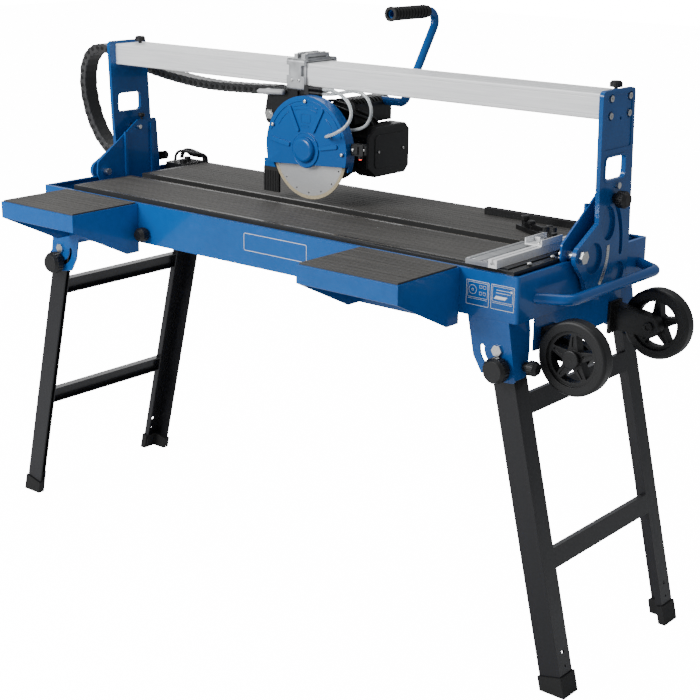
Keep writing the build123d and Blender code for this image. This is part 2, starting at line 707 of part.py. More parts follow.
with BuildPart() as blade:
    rod(facing_front(BLADE_Y + 1.1), [(BLADE_X, BLADE_Z)], BLADE_R, 2.2)
    rod(facing_front(BLADE_Y + 7), [(BLADE_X, BLADE_Z)], 24, 14)
    rod(facing_front(MOTOR_Y[0] - GAP), [(BLADE_X, BLADE_Z)], 8, 38)
    with BuildSketch(facing_front(BLADE_Y + 2)):
        with Locations((BLADE_X, BLADE_Z)):
            with PolarLocations(BLADE_R - 13, 16):
                Circle(2)
    extrude(amount=4, mode=Mode.SUBTRACT)
save(blade, "blade")

with BuildPart() as switch_box:
    with BuildSketch(facing_x(675.5)):
        with BuildLine():
            Polyline(
                (289, 835), (390, 835), (403, 848), (403, 927), (390, 940), (289, 940), (261, 920), (261, 855),
                close=True,
            )
        make_face()
    extrude(amount=720 - 675.5)
    chamfer(switch_box.faces().sort_by(Axis.X)[-1].edges(), 3)
    rod(facing_front(300), [(BLADE_X, BLADE_Z)], 70.3, 70, mode=Mode.SUBTRACT)
    # Cover plate and its two screws on the outer face.
    with BuildSketch(facing_x(720)):
        with Locations((337, 888)):
            RectangleRounded(104, 70, 10)
    extrude(amount=1.2)
    rod(facing_x(721.2), [(296, 888), (378, 888)], 3, 1)
save(switch_box, "switch_box")

with BuildPart() as handle_mount:
    with BuildSketch(facing_front(384)) as cover:
        field((622, 684), (944, 994))
        fillet(vertices().group_by(Axis.Y)[-1], 18)
        with Locations((BLADE_X, BLADE_Z)):
            Circle(MOTOR_R + 9, mode=Mode.SUBTRACT)
    extrude(amount=122)
    block((630, 660), (302, 378), (951.5, 966))
    # Cooling ribs across the top.
    for i in range(8):
        block((621, 685), (270 + 11 * i, 275 + 11 * i), (984, 995), Mode.SUBTRACT)
    rod(facing_x(662), [(366, 984)], HANDLE_R, 30, mode=Mode.SUBTRACT)
save(handle_mount, "handle_mount")

with BuildPart() as handle_tube:
    with BuildLine() as bend:
        FilletPolyline(
            at(662, 366, 984), at(HANDLE_X, 366, 984), at(HANDLE_X, 484, GRIP_Z), at(HANDLE_X, GRIP_Y[0] + 6, GRIP_Z),
            radius=[11, 22],
        )
    with BuildSketch(Plane(origin=bend.line @ 0, z_dir=bend.line % 0)):
        Circle(HANDLE_R - 0.05)
        Circle(HANDLE_R - 2, mode=Mode.SUBTRACT)
    sweep()
save(handle_tube, "handle_tube")

with BuildPart() as handle_grip:
    rod(facing_front(GRIP_Y[1]), [(HANDLE_X, GRIP_Z)], 12.5, GRIP_Y[1] - GRIP_Y[0], HANDLE_R)
    for i in range(11):
        rod(facing_front(GRIP_Y[1] - 10 - 10 * i), [(HANDLE_X, GRIP_Z)], 14, 5, 12)
    rod(facing_front(GRIP_Y[0] + 5), [(HANDLE_X, GRIP_Z)], 15, 5, HANDLE_R)
save(handle_grip, "handle_grip")

with BuildPart() as laser:
    block((725.9, 757), (200, 214), (893, 917))
    fillet(laser.edges().filter_by(Axis.Y), 4)
    # Folded bracket round the housing, and the lamp under it.
    block((729, 745), (197, 217), (897, 913))
    block((751, 762), (203, 206), (896, 914))
    rod(facing_up(887), [(745, 207)], 5, 7)
save(laser, "laser")

with BuildPart() as splash_flap:
    block((482, 526), (204.5, 210.5), (790, 843.5))
    for i in range(9):
        block((486 + 4.8 * i, 487.6 + 4.8 * i), (204.5, 210.5), (790, 835), Mode.SUBTRACT)
save(splash_flap, "splash_flap")

# ---------------------------------------------------------------- water hoses
FITTING_Y = 228.5
with BuildPart() as hose_fittings:
    # Two valves on the carriage side plate.
    block((579, 592), (223, 305), (1000, 1006))
    for z in (1004.5, 1014):
        rod(facing_x(590), [(FITTING_Y, z)], 4.3, 30)
        rod(facing_x(620), [(FITTING_Y, z)], 3.5, 6)
    block((579, 590), (224, 233), (997, 1019))
save(hose_fittings, "hose_fittings")

# Routes of the two hoses, from the valves on the carriage to the inlets on the guard.
HOSE_LEFT = [
    (626.4, 228.5, 1014), (648, 226, 1015), (676, 212, 1014), (705, 198, 1010), (733, 186, 998),
    (747, 176, 976), (738, 168, 954), (712, 161, 938), (688, 163, 930), (682, 174.8, 929),
]
HOSE_RIGHT = [
    (626.4, 228.5, 1004.5), (650, 229, 1005.5), (680, 230, 1013), (712, 230.5, 1019), (740, 230, 1011),
    (755, 229, 988), (751, 230, 966), (735, 232, 947), (709, 233, 939), (697, 220.2, 938),
]


def hose(route, name):
    """A round hose along straight runs and the largest arcs that they allow."""
    points = [at(*point) for point in route]
    radii = []
    for before, here, after in zip(points, points[1:], points[2:]):
        turn = (here - before).get_angle(after - here)
        shorter = min((here - before).length, (after - here).length)
        radii.append(0.45 * shorter / tan(radians(turn / 2)))
    print(name, "arc radii", [round(radius, 1) for radius in radii])
    with BuildLine() as path:
        FilletPolyline(*points, radius=radii)
    with BuildSketch(Plane(origin=path.line @ 0, z_dir=path.line % 0)) as section:
        Circle(HOSE_R)
    sweep(section.sketch, path=path.line)
    print(name, "length", round(path.wire().length, 1))


with BuildPart() as hose_left:
    hose(HOSE_LEFT, "hose_left")
save(hose_left, "hose_left")

with BuildPart() as hose_right:
    hose(HOSE_RIGHT, "hose_right")
save(hose_right, "hose_right")

# ---------------------------------------------------------------- folding legs
LEG_DOWN = Vector(sin(radians(SPLAY)), 0, -cos(radians(SPLAY)))
LEG_OUT = Vector(cos(radians(SPLAY)), 0, sin(radians(SPLAY)))
HALF = LEG_WIDTH / 2
OUTER_Y = STEEL + GAP                   # outer face of the front leg
LEG_REACH = LEG_Z / cos(radians(SPLAY))


def leg_plane(y, along=0.0):
    """Across a right leg, that far along it: sketch X points outward, sketch Y to the front."""
    return Plane(origin=at(LEG_X, y, LEG_Z) + LEG_DOWN * along, x_dir=LEG_OUT, z_dir=LEG_DOWN)


def along_leg(height):
    """How far along the leg its axis reaches a height above the floor."""
    return (LEG_Z - height) / cos(radians(SPLAY))


CLAMP_X_RIGHT = LEG_X + CLAMP_R * sin(radians(SPLAY))
CLAMP_Z = LEG_Z - CLAMP_R * cos(radians(SPLAY))
with BuildPart() as right_legs:
    with BuildSketch(leg_plane(OUTER_Y)) as channel:
        field((-HALF, HALF), (-STEEL, 0))
        field((HALF - STEEL, HALF), (-LEG_DEPTH, 0))
        field((HALF - 14, HALF), (-LEG_DEPTH, STEEL - LEG_DEPTH))
    extrude(amount=LEG_REACH + 20)
    # Rounded head on the pivot.
    with BuildSketch(facing_front(OUTER_Y + STEEL)):
        with Locations((LEG_X, LEG_Z)):
            Circle(HALF)
    extrude(amount=STEEL)
    split(bisect_by=Plane(origin=at(0, 0, 5), z_dir=(0, 0, 1)), keep=Keep.TOP)
    rod(facing_front(OUTER_Y + STEEL + 1), [(LEG_X, LEG_Z)], 6.08, 6, mode=Mode.SUBTRACT)
    # Stud of the clamp knob, through the bracket's curved slot.
    rod(facing_front(OUTER_Y + STEEL), [(CLAMP_X_RIGHT, CLAMP_Z)], 4, OUTER_Y + STEEL + 20)
    # Locating holes low on the web.
    for height, radius in ((75, 4), (48, 2.5)):
        web = Plane(
            origin=at(LEG_X, OUTER_Y + 22, LEG_Z) + LEG_DOWN * along_leg(height) + LEG_OUT * HALF,
            x_dir=(0, 1, 0), z_dir=LEG_OUT,
        )
        with BuildSketch(web):
            Circle(radius)
        extrude(amount=-STEEL, mode=Mode.SUBTRACT)
    mirror(about=LEGS_MID_DEPTH)
save(right_legs, "right_legs")

BAR_Y = (OUTER_Y + LEG_DEPTH, LEG_DEPTHS - OUTER_Y - LEG_DEPTH)
with BuildPart() as right_crossbars:
    for height in CROSSBAR_Z:
        middle = at(LEG_X, BAR_Y[0], LEG_Z) + LEG_DOWN * along_leg(height)
        with BuildSketch(Plane(origin=middle, x_dir=LEG_OUT, z_dir=(0, 1, 0))):
            field((HALF - 14, HALF), (-CROSSBAR / 2, CROSSBAR / 2))
            field((HALF - 14, HALF - STEEL), (STEEL - CROSSBAR / 2, CROSSBAR / 2 - STEEL), Mode.SUBTRACT)
        extrude(amount=BAR_Y[1] - BAR_Y[0])
save(right_crossbars, "right_crossbars")

with BuildPart() as right_feet:
    with BuildSketch(leg_plane(OUTER_Y, LEG_REACH - 34)):
        field((-HALF - 3, HALF + 3), (-13, 3.2))
        field((HALF - 12, HALF + 3), (-LEG_DEPTH - 4, 3.2))
    extrude(amount=70)
    split(bisect_by=Plane(origin=at(0, 0, 0), z_dir=(0, 0, 1)), keep=Keep.TOP)
    mirror(about=LEGS_MID_DEPTH)
    add(right_legs.part, mode=Mode.SUBTRACT)
save(right_feet, "right_feet")

with BuildPart() as left_legs:
    mirror(right_legs.part, about=LEGS_MID_LENGTH)
save(left_legs, "left_legs")

with BuildPart() as left_crossbars:
    mirror(right_crossbars.part, about=LEGS_MID_LENGTH)
save(left_crossbars, "left_crossbars")

with BuildPart() as left_feet:
    mirror(right_feet.part, about=LEGS_MID_LENGTH)
save(left_feet, "left_feet")

# ---------------------------------------------------------------- knobs
# The tilt knobs stand clear of the raised window frame that passes them as the bridge tilts.
TILT_KNOB_FACE = BASE_LENGTH + POST_GAP + POST + 1.8
with BuildPart() as tilt_knob_right:
    rod(facing_x(TILT_KNOB_FACE), [LOCK], 10, 8, 5.08)
    cap(facing_x(TILT_KNOB_FACE + 8), LOCK, 16, 20, 5.08)
save(tilt_knob_right, "tilt_knob_right")

with BuildPart() as tilt_knob_left:
    mirror(tilt_knob_right.part, about=MID_LENGTH)
save(tilt_knob_left, "tilt_knob_left")

def thumb_screw(x, y):
    """A short screw with a wide head, on top of the rail."""
    rod(facing_up(RAIL_Z[1] + GAP), [(x, y)], 4, 6)
    cap(facing_up(RAIL_Z[1] + GAP + 5), (x, y), 12, 11)


with BuildPart() as thumb_screw_left:
    thumb_screw(18, 286)
save(thumb_screw_left, "thumb_screw_left")

with BuildPart() as thumb_screw_right:
    thumb_screw(1262, 305)
save(thumb_screw_right, "thumb_screw_right")


def leg_clamp():
    """Clamp knob of the front right leg, turning on the leg's stud."""
    rod(facing_front(-GAP), [(CLAMP_X_RIGHT, CLAMP_Z)], 11, 6, 4.08)
    cap(facing_front(-6), (CLAMP_X_RIGHT, CLAMP_Z), 24, 22, 4.08)


with BuildPart() as leg_knob_front_right:
    leg_clamp()
save(leg_knob_front_right, "leg_knob_front_right")

with BuildPart() as leg_knob_front_left:
    mirror(leg_knob_front_right.part, about=LEGS_MID_LENGTH)
save(leg_knob_front_left, "leg_knob_front_left")

with BuildPart() as leg_knob_rear_right:
    mirror(leg_knob_front_right.part, about=LEGS_MID_DEPTH)
save(leg_knob_rear_right, "leg_knob_rear_right")

with BuildPart() as leg_knob_rear_left:
    mirror(leg_knob_front_left.part, about=LEGS_MID_DEPTH)
save(leg_knob_rear_left, "leg_knob_rear_left")

with BuildPart() as latch_knob_right:
    # A spring-loaded pin through the bracket's side plate, with a round head.
    rod(facing_x(1263.8), [SPRING_KNOB], 4, 20)
    rod(facing_x(1271), [SPRING_KNOB], 9, 12)
    cap(facing_x(1281), SPRING_KNOB, 14, 18)
save(latch_knob_right, "latch_knob_right")

with BuildPart() as latch_knob_left:
    mirror(latch_knob_right.part, about=LEGS_MID_LENGTH)
save(latch_knob_left, "latch_knob_left")

with BuildPart() as tray_knob_left:
    rod(facing_front(-GAP), [(330, 704)], 8, 5)
    cap(facing_front(-GAP - 4.5), (330, 704), 15, 20)
save(tray_knob_left, "tray_knob_left")

with BuildPart() as tray_knob_right:
    rod(facing_front(-GAP), [(893, 704)], 8, 5)
    cap(facing_front(-GAP - 4.5), (893, 704), 15, 20)
save(tray_knob_right, "tray_knob_right")
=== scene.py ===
"""Looks of the wet tile saw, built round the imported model. Metres, in the row's frame."""
import json
import math

import bmesh
import bpy
from mathutils import Matrix, Vector


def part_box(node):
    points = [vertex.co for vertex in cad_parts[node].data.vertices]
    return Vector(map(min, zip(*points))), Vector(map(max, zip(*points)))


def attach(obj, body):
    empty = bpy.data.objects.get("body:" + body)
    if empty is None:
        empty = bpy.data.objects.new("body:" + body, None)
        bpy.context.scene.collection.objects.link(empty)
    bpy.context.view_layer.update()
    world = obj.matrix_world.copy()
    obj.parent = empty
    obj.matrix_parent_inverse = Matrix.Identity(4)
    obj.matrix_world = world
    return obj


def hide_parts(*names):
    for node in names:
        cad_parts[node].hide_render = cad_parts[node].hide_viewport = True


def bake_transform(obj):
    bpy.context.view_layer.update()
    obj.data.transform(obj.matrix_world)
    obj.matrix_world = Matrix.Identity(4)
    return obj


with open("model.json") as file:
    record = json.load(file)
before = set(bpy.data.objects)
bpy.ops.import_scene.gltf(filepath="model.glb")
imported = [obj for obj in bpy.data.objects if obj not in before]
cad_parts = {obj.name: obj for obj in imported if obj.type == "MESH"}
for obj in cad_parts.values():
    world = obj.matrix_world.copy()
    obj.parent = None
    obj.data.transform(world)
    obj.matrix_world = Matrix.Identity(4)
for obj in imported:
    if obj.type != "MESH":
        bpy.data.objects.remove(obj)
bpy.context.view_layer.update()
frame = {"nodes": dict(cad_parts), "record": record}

NODES = frame["nodes"]
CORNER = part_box("base_tub")[0]          # front left corner of the base, where the saw's X and Y start

# Places on the saw, in millimetres from that corner and the floor.
BASE_LENGTH = 1270.0                    # along X
TABLE_TOP = 775.0
TILT_PIVOT = (173, 777)                 # Y and Z of the bolts that the bridge tilts about
GUARD_CENTRE = (616, 894)               # X and Z of the middle of the round blade guard
GUARD_FACE = 186                        # Y
WHEEL_AXLE = (1346, 622)                # X and Z
CHANNEL_FLOOR = 793.2                   # Z of the upper side of the floor of the channel on the fence
STOP_PIVOT = (1150, 269)                # X and Y of the pin that the angle stop turns on
STOP_ANGLE = 153                        # degrees, the way the angle stop points


def at(x, y, z):
    """A place given in millimetres from the base's front left corner and the floor."""
    return Vector((CORNER[0] + x / 1000, CORNER[1] + y / 1000, z / 1000))


# ---------------------------------------------------------------- camera
PHOTO_YAW = 39.7                        # degrees
PHOTO_PITCH = 17.2
PHOTO_ROLL = 0.7
CAMERA_PLACE = (2630.1, -2117.6, 1392.6)
LENS = 76.63                            # millimetres, as is the sensor's width
SENSOR = 36.0
LENS_SHIFT = (0.0131, 0.0114)


def add_camera():
    """The camera of the photograph, from the fit of the saw's edges."""
    data = bpy.data.cameras.new("camera")
    data.lens = LENS
    data.sensor_width = SENSOR
    data.shift_x, data.shift_y = LENS_SHIFT
    data.clip_end = 60
    yaw, pitch, roll = (math.radians(a) for a in (PHOTO_YAW, PHOTO_PITCH, PHOTO_ROLL))
    forward = Vector((-math.sin(yaw) * math.cos(pitch), math.cos(yaw) * math.cos(pitch), -math.sin(pitch)))
    level = Vector((math.cos(yaw), math.sin(yaw), 0))
    upright = level.cross(forward)
    right = level * math.cos(roll) + upright * math.sin(roll)
    up = upright * math.cos(roll) - level * math.sin(roll)
    camera = bpy.data.objects.new("camera", data)
    turn = Matrix((right, up, -forward)).transposed().to_4x4()
    camera.matrix_world = Matrix.Translation(at(*CAMERA_PLACE)) @ turn
    bpy.context.scene.collection.objects.link(camera)
    bpy.context.scene.camera = camera


# ---------------------------------------------------------------- light and floor
WORLD_SEEN = 18.0                       # the white that the camera sees behind the saw
WORLD_LIT = 0.34                        # the light that the world adds to the saw
PAPER_GLOW = 15.0
FLOOR_HALF = 14.0
LAMPS = (                               # name, place, aim, size and watts
    ("key", (-1.4, -3.8, 2.6), (0, 0, 0.7), 2.2, 118),
    ("strip", (-0.4, -1.7, 1.7), (0.1, 0.1, 1.06), 0.9, 24),
    ("fill", (3.6, -1.2, 2.0), (0, 0, 0.8), 1.6, 3),
    ("top", (0.2, 0.6, 3.8), (0, 0, 0.8), 2.4, 42),
    ("rim", (-2.6, 2.6, 2.4), (0, 0, 0.9), 1.6, 26),
)


def add_lights():
    """A white surround that shines for the camera alone, a faint cool one for the saw, and area lamps."""
    world = bpy.data.worlds.new("studio")
    bpy.context.scene.world = world
    world.use_nodes = True
    tree = world.node_tree
    tree.nodes.clear()
    out = tree.nodes.new("ShaderNodeOutputWorld")
    seen = tree.nodes.new("ShaderNodeBackground")
    seen.inputs["Color"].default_value = (1, 1, 1, 1)
    seen.inputs["Strength"].default_value = WORLD_SEEN
    lit = tree.nodes.new("ShaderNodeBackground")
    lit.inputs["Color"].default_value = (0.93, 0.96, 1, 1)
    lit.inputs["Strength"].default_value = WORLD_LIT
    path = tree.nodes.new("ShaderNodeLightPath")
    mix = tree.nodes.new("ShaderNodeMixShader")
    tree.links.new(path.outputs["Is Camera Ray"], mix.inputs[0])
    tree.links.new(lit.outputs[0], mix.inputs[1])
    tree.links.new(seen.outputs[0], mix.inputs[2])
    tree.links.new(mix.outputs[0], out.inputs[0])
    for name, place, aim, size, power in LAMPS:
        data = bpy.data.lights.new(name, "AREA")
        data.size = size
        data.energy = power
        lamp = bpy.data.objects.new(name, data)
        lamp.location = place
        lamp.rotation_euler = (Vector(aim) - Vector(place)).to_track_quat("-Z", "Y").to_euler()
        bpy.context.scene.collection.objects.link(lamp)


def add_floor():
    """White paper under the saw."""
    mesh = bpy.data.meshes.new("floor")
    half = FLOOR_HALF
    corners = [(-half, -half, 0), (half, -half, 0), (half, half, 0), (-half, half, 0)]
    mesh.from_pydata(corners, [], [(0, 1, 2, 3)])
    floor = bpy.data.objects.new("floor", mesh)
    bpy.context.scene.collection.objects.link(floor)
    graph = Graph("floor_paper", (0.8, 0.8, 0.8), 0.9)
    graph.set(Emission_Color=(1, 1, 1, 1))
    # The paper shines for the camera alone, so it doesn't light the saw from below.
    seen = graph.add("ShaderNodeLightPath").outputs["Is Camera Ray"]
    graph.join(graph.maths("MULTIPLY", seen, PAPER_GLOW), graph.shader.inputs["Emission Strength"])
    mesh.materials.append(graph.material)


# ---------------------------------------------------------------- materials
class Graph:
    """One material's nodes, with short calls to add and join them. Patterns are in the row's metres."""

    def __init__(self, name, colour, roughness, metallic=0.0):
        self.material = bpy.data.materials.new(name)
        self.material.use_nodes = True
        tree = self.material.node_tree
        tree.nodes.clear()
        self.tree = tree
        self.out = tree.nodes.new("ShaderNodeOutputMaterial")
        self.shader = tree.nodes.new("ShaderNodeBsdfPrincipled")
        tree.links.new(self.shader.outputs[0], self.out.inputs["Surface"])
        self.shader.inputs["Base Color"].default_value = (*colour, 1)
        self.shader.inputs["Roughness"].default_value = roughness
        self.shader.inputs["Metallic"].default_value = metallic
        self.place = tree.nodes.new("ShaderNodeTexCoord").outputs["Object"]
        self.normal = None

    def add(self, kind, **values):
        """A new node with some of its properties set."""
        node = self.tree.nodes.new(kind)
        for name, value in values.items():
            setattr(node, name, value)
        return node

    def join(self, source, target):
        """Feeds a socket from another node's output."""
        self.tree.links.new(source, target)

    def set(self, **values):
        """Sets the shader's own sockets by name."""
        for name, value in values.items():
            self.shader.inputs[name.replace("_", " ")].default_value = value

    def stretched(self, scale, centre=(0, 0, 0)):
        """The place, moved to a centre and scaled on each axis."""
        mapping = self.add("ShaderNodeMapping", vector_type="POINT")
        mapping.inputs["Location"].default_value = [-c * s for c, s in zip(centre, scale)]
        mapping.inputs["Scale"].default_value = scale
        self.join(self.place, mapping.inputs["Vector"])
        return mapping.outputs[0]

    def noise(self, scale, detail=3.0, stretch=(1, 1, 1), rough=0.5):
        """Noise from 0 to 1. A small stretch draws it out along that axis."""
        node = self.add("ShaderNodeTexNoise")
        node.inputs["Scale"].default_value = scale
        node.inputs["Detail"].default_value = detail
        node.inputs["Roughness"].default_value = rough
        self.join(self.stretched(stretch), node.inputs["Vector"])
        return node.outputs["Fac"]

    def maths(self, operation, *values):
        """One sum. Each value is a number or another node's output."""
        node = self.add("ShaderNodeMath", operation=operation)
        for i, value in enumerate(values):
            if isinstance(value, (int, float)):
                node.inputs[i].default_value = value
            else:
                self.join(value, node.inputs[i])
        return node.outputs[0]

    def ramp(self, source, *stops):
        """Colours or numbers at positions along a source."""
        node = self.add("ShaderNodeValToRGB")
        points = node.color_ramp.elements
        while len(points) < len(stops):
            points.new(0.5)
        for point, (position, value) in zip(points, stops):
            point.position = position
            colour = value if isinstance(value, tuple) else (value, value, value)
            point.color = (*colour, 1)
        self.join(source, node.inputs[0])
        return node.outputs[0]

    def mix(self, factor, a, b):
        """From colour a to colour b as the factor rises."""
        node = self.add("ShaderNodeMix", data_type="RGBA")
        for socket, value in ((node.inputs[0], factor), (node.inputs[6], a), (node.inputs[7], b)):
            if isinstance(value, tuple):
                socket.default_value = (*value, 1)
            elif isinstance(value, (int, float)):
                socket.default_value = value
            else:
                self.join(value, socket)
        return node.outputs[2]

    def colour(self, source):
        """The base colour, from another node's output."""
        self.join(source, self.shader.inputs["Base Color"])

    def rough(self, source, low, high):
        """Roughness from low to high as the source goes from 0 to 1."""
        spread = self.add("ShaderNodeMapRange")
        spread.inputs["To Min"].default_value = low
        spread.inputs["To Max"].default_value = high
        self.join(source, spread.inputs["Value"])
        self.join(spread.outputs[0], self.shader.inputs["Roughness"])

    def soft_edges(self, radius=0.0012):
        """Rounds hard edges where they catch the light."""
        node = self.add("ShaderNodeBevel", samples=4)
        node.inputs["Radius"].default_value = radius
        self.normal = node.outputs[0]
        self.join(self.normal, self.shader.inputs["Normal"])

    def bump(self, height, strength, depth):
        """Adds a relief to the ones before it."""
        node = self.add("ShaderNodeBump")
        node.inputs["Strength"].default_value = strength
        node.inputs["Distance"].default_value = depth
        self.join(height, node.inputs["Height"])
        if self.normal is not None:
            self.join(self.normal, node.inputs["Normal"])
        self.normal = node.outputs[0]
        self.join(self.normal, self.shader.inputs["Normal"])

    def parts(self, vector):
        """The X, Y and Z of a vector."""
        node = self.add("ShaderNodeSeparateXYZ")
        self.join(vector, node.inputs[0])
        return node.outputs


def shade(colour, factor, lift=0.0):
    """A colour made darker or lighter."""
    return tuple(min(1, c * factor + lift) for c in colour)


def painted(name, colour, roughness=0.3, grain=700, depth=0.00012, chips=True):
    """Powder coat: an orange-peel surface, slight colour drift and thin wear on the edges."""
    graph = Graph(name, colour, roughness)
    graph.soft_edges()
    drift = graph.noise(3.5, 4)
    tone = graph.ramp(drift, (0.3, shade(colour, 0.86)), (0.7, shade(colour, 1.1)))
    if chips:
        wear = graph.add("ShaderNodeNewGeometry").outputs["Pointiness"]
        patchy = graph.maths("MULTIPLY", graph.ramp(wear, (0.53, 0.0), (0.6, 1.0)), graph.noise(60, 5))
        tone = graph.mix(graph.maths("MULTIPLY", patchy, 0.5), tone, shade(colour, 1.5, 0.012))
    graph.colour(tone)
    graph.rough(graph.noise(25, 5), roughness - 0.06, roughness + 0.08)
    graph.bump(graph.noise(grain, 2), 0.25, depth)
    graph.set(Coat_Weight=0.4, Coat_Roughness=0.06, Specular_IOR_Level=0.25)
    return graph.material


def metal(name, colour, roughness, stretch, scale=240, grain=0.00004, shine=1.0):
    """Bare metal with a drawn or brushed grain along one axis. A matt anodised skin has less shine."""
    graph = Graph(name, colour, roughness, shine)
    graph.soft_edges(0.0008)
    lines = graph.noise(scale, 6, stretch, 0.65)
    graph.colour(graph.ramp(lines, (0.25, shade(colour, 0.84)), (0.75, shade(colour, 1.12))))
    graph.rough(lines, roughness - 0.09, roughness + 0.12)
    graph.bump(lines, 0.3, grain)
    return graph.material


def cast(name, colour, roughness):
    """Sand-cast metal with a pebbly skin and dull patches."""
    graph = Graph(name, colour, roughness, 0.9)
    graph.soft_edges(0.0015)
    pebble = graph.noise(420, 5, rough=0.7)
    patches = graph.noise(45, 4)
    graph.colour(graph.ramp(patches, (0.3, shade(colour, 0.7)), (0.7, colour)))
    graph.rough(patches, roughness - 0.1, roughness + 0.15)
    graph.bump(pebble, 0.5, 0.0003)
    return graph.material


def plastic(name, colour, roughness=0.5, grain=900, depth=0.00012):
    """Moulded plastic with a spark-eroded texture."""
    graph = Graph(name, colour, roughness)
    graph.soft_edges()
    speckle = graph.noise(grain, 3, rough=0.6)
    worn = graph.noise(14, 5)
    graph.colour(graph.ramp(worn, (0.3, shade(colour, 0.75)), (0.75, shade(colour, 1.35))))
    graph.rough(worn, roughness - 0.1, roughness + 0.12)
    graph.bump(speckle, 0.4, depth)
    return graph.material


def ribbed_rubber(name, colour, pitch=0.0042):
    """Table mat: fine ribs along X with painted shade darkening the valleys between them, and long faint
    streaks.
    """
    graph = Graph(name, colour, 0.75)
    y = graph.parts(graph.place)["Y"]
    wave = graph.maths("SINE", graph.maths("MULTIPLY", y, 2 * math.pi / pitch))
    ribs = graph.maths("MULTIPLY_ADD", wave, 0.5, 0.5)
    streaks = graph.noise(30, 5, (0.12, 3.5, 1), 0.65)
    fine = graph.noise(700, 2)
    # Painted shade: the valleys between the ribs are made darker than the rib tops.
    ribbed = graph.ramp(ribs, (0.15, shade(colour, 0.6)), (0.7, colour))
    graph.colour(graph.mix(graph.ramp(streaks, (0.4, 0.0), (0.75, 0.75)), ribbed, shade(colour, 1.9)))
    graph.rough(streaks, 0.62, 0.85)
    graph.bump(ribs, 0.6, 0.0005)
    graph.bump(fine, 0.2, 0.0001)
    return graph.material


DIAMOND_RIM = 0.0072                    # width of the sandy band


def blade_steel(name):
    """Ground steel disc with circular marks and a sandy diamond rim. Both follow the blade's own axis."""
    graph = Graph(name, (0.5, 0.5, 0.5), 0.3, 1.0)
    low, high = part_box("blade")
    centre = ((low[0] + high[0]) / 2, 0, (low[2] + high[2]) / 2)
    rim = (high[0] - low[0]) / 2
    spot = graph.stretched((1, 0, 1), centre)
    length = graph.add("ShaderNodeVectorMath", operation="LENGTH")
    graph.join(spot, length.inputs[0])
    radius = length.outputs["Value"]
    rings = graph.add("ShaderNodeTexNoise", noise_dimensions="1D")
    rings.inputs["Scale"].default_value = 1500
    rings.inputs["Detail"].default_value = 4
    graph.join(radius, rings.inputs["W"])
    ground = graph.ramp(rings.outputs["Fac"], (0.3, (0.52, 0.52, 0.52)), (0.7, (0.85, 0.85, 0.84)))
    sand = graph.ramp(graph.noise(900, 4, rough=0.8), (0.35, (0.2, 0.16, 0.09)), (0.65, (0.62, 0.53, 0.36)))
    at_rim = graph.maths("GREATER_THAN", radius, rim - DIAMOND_RIM)
    graph.colour(graph.mix(at_rim, ground, sand))
    shine = graph.maths("MULTIPLY", graph.maths("SUBTRACT", 1.0, at_rim), 0.6)
    graph.join(shine, graph.shader.inputs["Metallic"])
    coarse = graph.maths("MULTIPLY", graph.noise(1100, 3), at_rim)
    graph.bump(graph.maths("ADD", graph.maths("MULTIPLY", rings.outputs["Fac"], 0.12), coarse), 0.8, 0.0005)
    graph.rough(at_rim, 0.26, 0.8)
    return graph.material


def clear_tube(name):
    """Clear hose with wet, slightly milky walls."""
    graph = Graph(name, (0.86, 0.9, 0.9), 0.12)
    graph.set(Transmission_Weight=0.55, IOR=1.4, Coat_Weight=0.6)
    milk = graph.noise(60, 4)
    graph.colour(graph.ramp(milk, (0.3, (0.72, 0.77, 0.78)), (0.7, (0.95, 0.97, 0.97))))
    graph.rough(milk, 0.08, 0.24)
    graph.bump(graph.noise(300, 2), 0.15, 0.0001)
    return graph.material


RULE_WIDTH = 0.011                      # how far the engraved lines reach in from the bar's right edge


def ruled_metal(name, colour, pitch=0.005):
    """Aluminium with an engraved rule along Y at its right edge."""
    graph = Graph(name, colour, 0.38, 1.0)
    graph.soft_edges(0.0008)
    lines = graph.noise(260, 6, (0.1, 1, 1), 0.6)
    base = graph.ramp(lines, (0.25, shade(colour, 0.75)), (0.75, colour))
    place = graph.parts(graph.place)
    tick = graph.maths("LESS_THAN", graph.maths("FRACT", graph.maths("DIVIDE", place["Y"], pitch)), 0.12)
    bar_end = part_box("fence_bar")[1][0]
    edge = graph.maths("GREATER_THAN", place["X"], bar_end - RULE_WIDTH)
    graph.colour(graph.mix(graph.maths("MULTIPLY", tick, edge), base, (0.03, 0.03, 0.03)))
    graph.bump(lines, 0.3, 0.00005)
    graph.rough(lines, 0.3, 0.5)
    return graph.material


def lamp_red(name):
    """Red glass with a glow behind it."""
    graph = Graph(name, (0.5, 0.01, 0.01), 0.1)
    graph.set(Emission_Color=(1, 0.05, 0.03, 1), Emission_Strength=4.0, Coat_Weight=1.0)
    graph.bump(graph.noise(500, 2), 0.1, 0.0001)
    return graph.material


